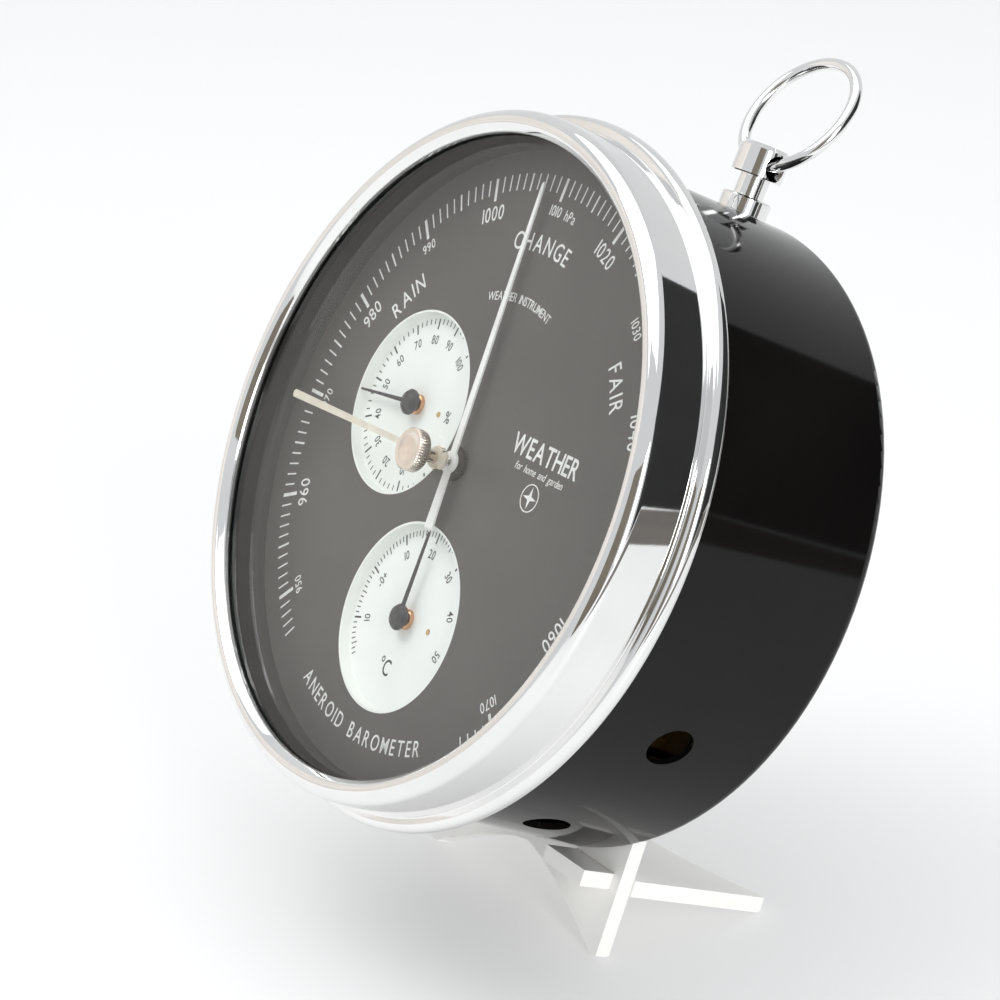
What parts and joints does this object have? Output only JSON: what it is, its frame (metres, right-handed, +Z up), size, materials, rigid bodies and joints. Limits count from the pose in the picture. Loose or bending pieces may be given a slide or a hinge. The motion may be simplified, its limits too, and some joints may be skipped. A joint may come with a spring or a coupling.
{
  "type": "aneroid barometer",
  "caption": "Round aneroid weather instrument with two recessed sub-dials, a setting hand, a hanging bow and a two-plate stand; shows air pressure, humidity and temperature.",
  "frame": {"origin": "centre of the overall box at the level of the stand's feet", "axes": "+Z up, -Y the side the dial faces, +X to the viewer's right"},
  "size_m": [0.13, 0.1184, 0.1511],
  "materials": {
    "black_enamel": "gloss black enamel",
    "bezel_chrome": "polished chrome plate",
    "brass": "polished",
    "steel": "satin",
    "nickel": "warm nickel plate",
    "glass": "clear",
    "dark_seal": "matt",
    "dial_enamel": "satin printed",
    "subdial_white": "satin printed",
    "copper": "polished",
    "black_hand": "satin",
    "white_hand": "satin",
    "cream_hand": "satin",
    "stand_white": "satin"
  },
  "bodies": {
    "stand": {"cross_plate": "stand_white", "rear_plate": "stand_white"},
    "instrument": {"case_shell": "black_enamel", "case_screws": "steel", "bezel_ring": "bezel_chrome", "glass_disc": "glass", "glass_gasket": "dark_seal", "spacer_ring": "dark_seal", "dial_plate": "dial_enamel", "hygrometer_cup": "subdial_white", "thermometer_cup": "subdial_white", "hygrometer_bush": "copper", "thermometer_bush": "copper", "hygrometer_coil": "brass", "thermometer_coil": "steel", "coil_studs": "brass", "centre_bush": "dark_seal", "hairspring": "steel", "hairspring_stud": "brass", "pendant_stem": "bezel_chrome", "pendant_washer": "steel", "pendant_nut": "brass", "base_plate": "brass", "dial_pillars": "brass", "capsule": "nickel", "spring_block": "brass", "spring_clamp": "steel", "spring_screws": "steel", "rocker_brackets": "brass", "bridge_plate": "brass", "bridge_posts": "brass", "bridge_screws": "steel", "arbor_cock": "brass"},
    "bow": {"bow_ring": "bezel_chrome"},
    "setter": {"set_knob": "nickel", "set_hand_bush": "nickel", "set_hand": "cream_hand", "knob_washer": "nickel"},
    "pointer": {"centre_arbor": "steel", "pressure_hand": "white_hand"},
    "hygro_pointer": {"hygrometer_arbor": "steel", "hygrometer_hand": "black_hand"},
    "thermo_pointer": {"thermometer_arbor": "steel", "thermometer_hand": "black_hand"},
    "spring_lever": {"main_spring": "steel", "main_lever": "brass", "lever_rivets": "brass"},
    "post": {"capsule_post": "steel"},
    "link": {"link_rod": "steel"},
    "rocking_bar": {"rocker": "steel"},
    "pull_chain": {"chain": "steel"},
    "adjuster": {"adjusting_screw": "steel"}
  },
  "joints": [
    {"name": "lift_off", "type": "slide", "parent": "stand", "child": "instrument", "axis": [0, 0, 1], "range_m": [0, 0.12]},
    {"name": "bow_swing", "type": "hinge", "parent": "instrument", "child": "bow", "pos_m": [0, 0.0409, 0.13343], "axis": [1, 0, 0], "range_deg": [-105, 120]},
    {"name": "set_turn", "type": "hinge", "parent": "instrument", "child": "setter", "pos_m": [0, -0.02907, 0.09008], "axis": [0, 0.9026, -0.4305], "continuous": true},
    {"name": "pointer_turn", "type": "hinge", "parent": "instrument", "child": "pointer", "pos_m": [0, -0.02501, 0.08815], "axis": [0, 0.9026, -0.4305], "range_deg": [-139.16, 148.84], "stiffness_Nm_per_rad": 0.001},
    {"name": "hygro_turn", "type": "hinge", "parent": "instrument", "child": "hygro_pointer", "pos_m": [-0.0213, -0.02099, 0.0931], "axis": [0, 0.9026, -0.4305], "range_deg": [-126, 133], "stiffness_Nm_per_rad": 0.0002},
    {"name": "thermo_turn", "type": "hinge", "parent": "instrument", "child": "thermo_pointer", "pos_m": [0, -0.0361, 0.06141], "axis": [0, 0.9026, -0.4305], "range_deg": [-128, 131], "stiffness_Nm_per_rad": 0.0002},
    {"name": "chain_pull", "type": "slide", "parent": "instrument", "child": "pull_chain", "axis": [0.0652, -0.4296, -0.9007], "range_m": [-0.00273, 0.00291]},
    {"name": "rocker_turn", "type": "hinge", "parent": "instrument", "child": "rocking_bar", "pos_m": [0, -0.01208, 0.04209], "axis": [1, 0, 0], "range_deg": [-12.49, 13.36]},
    {"name": "link_slide", "type": "slide", "parent": "instrument", "child": "link", "axis": [0, 0.9026, -0.4305], "range_m": [-0.00109, 0.00117]},
    {"name": "lever_flex", "type": "hinge", "parent": "instrument", "child": "spring_lever", "pos_m": [0, 0.01757, 0.11215], "axis": [1, 0, 0], "range_deg": [-0.77, 0.82]},
    {"name": "post_slide", "type": "slide", "parent": "instrument", "child": "post", "axis": [0, 0.9026, -0.4305], "range_m": [-0.00054, 0.00058]},
    {"name": "adjuster_turn", "type": "hinge", "parent": "instrument", "child": "adjuster", "pos_m": [0, 0.03018, 0.10281], "axis": [0, -0.9026, 0.4305], "continuous": true}
  ],
  "couplings": [
    {"joint": "chain_pull", "follows": "pointer_turn", "m_per_rad": 0.0011},
    {"joint": "rocker_turn", "follows": "pointer_turn", "ratio": 0.088},
    {"joint": "link_slide", "follows": "pointer_turn", "m_per_rad": 0.00044},
    {"joint": "lever_flex", "follows": "pointer_turn", "ratio": 0.0054321},
    {"joint": "post_slide", "follows": "pointer_turn", "m_per_rad": 0.00021728}
  ]
}
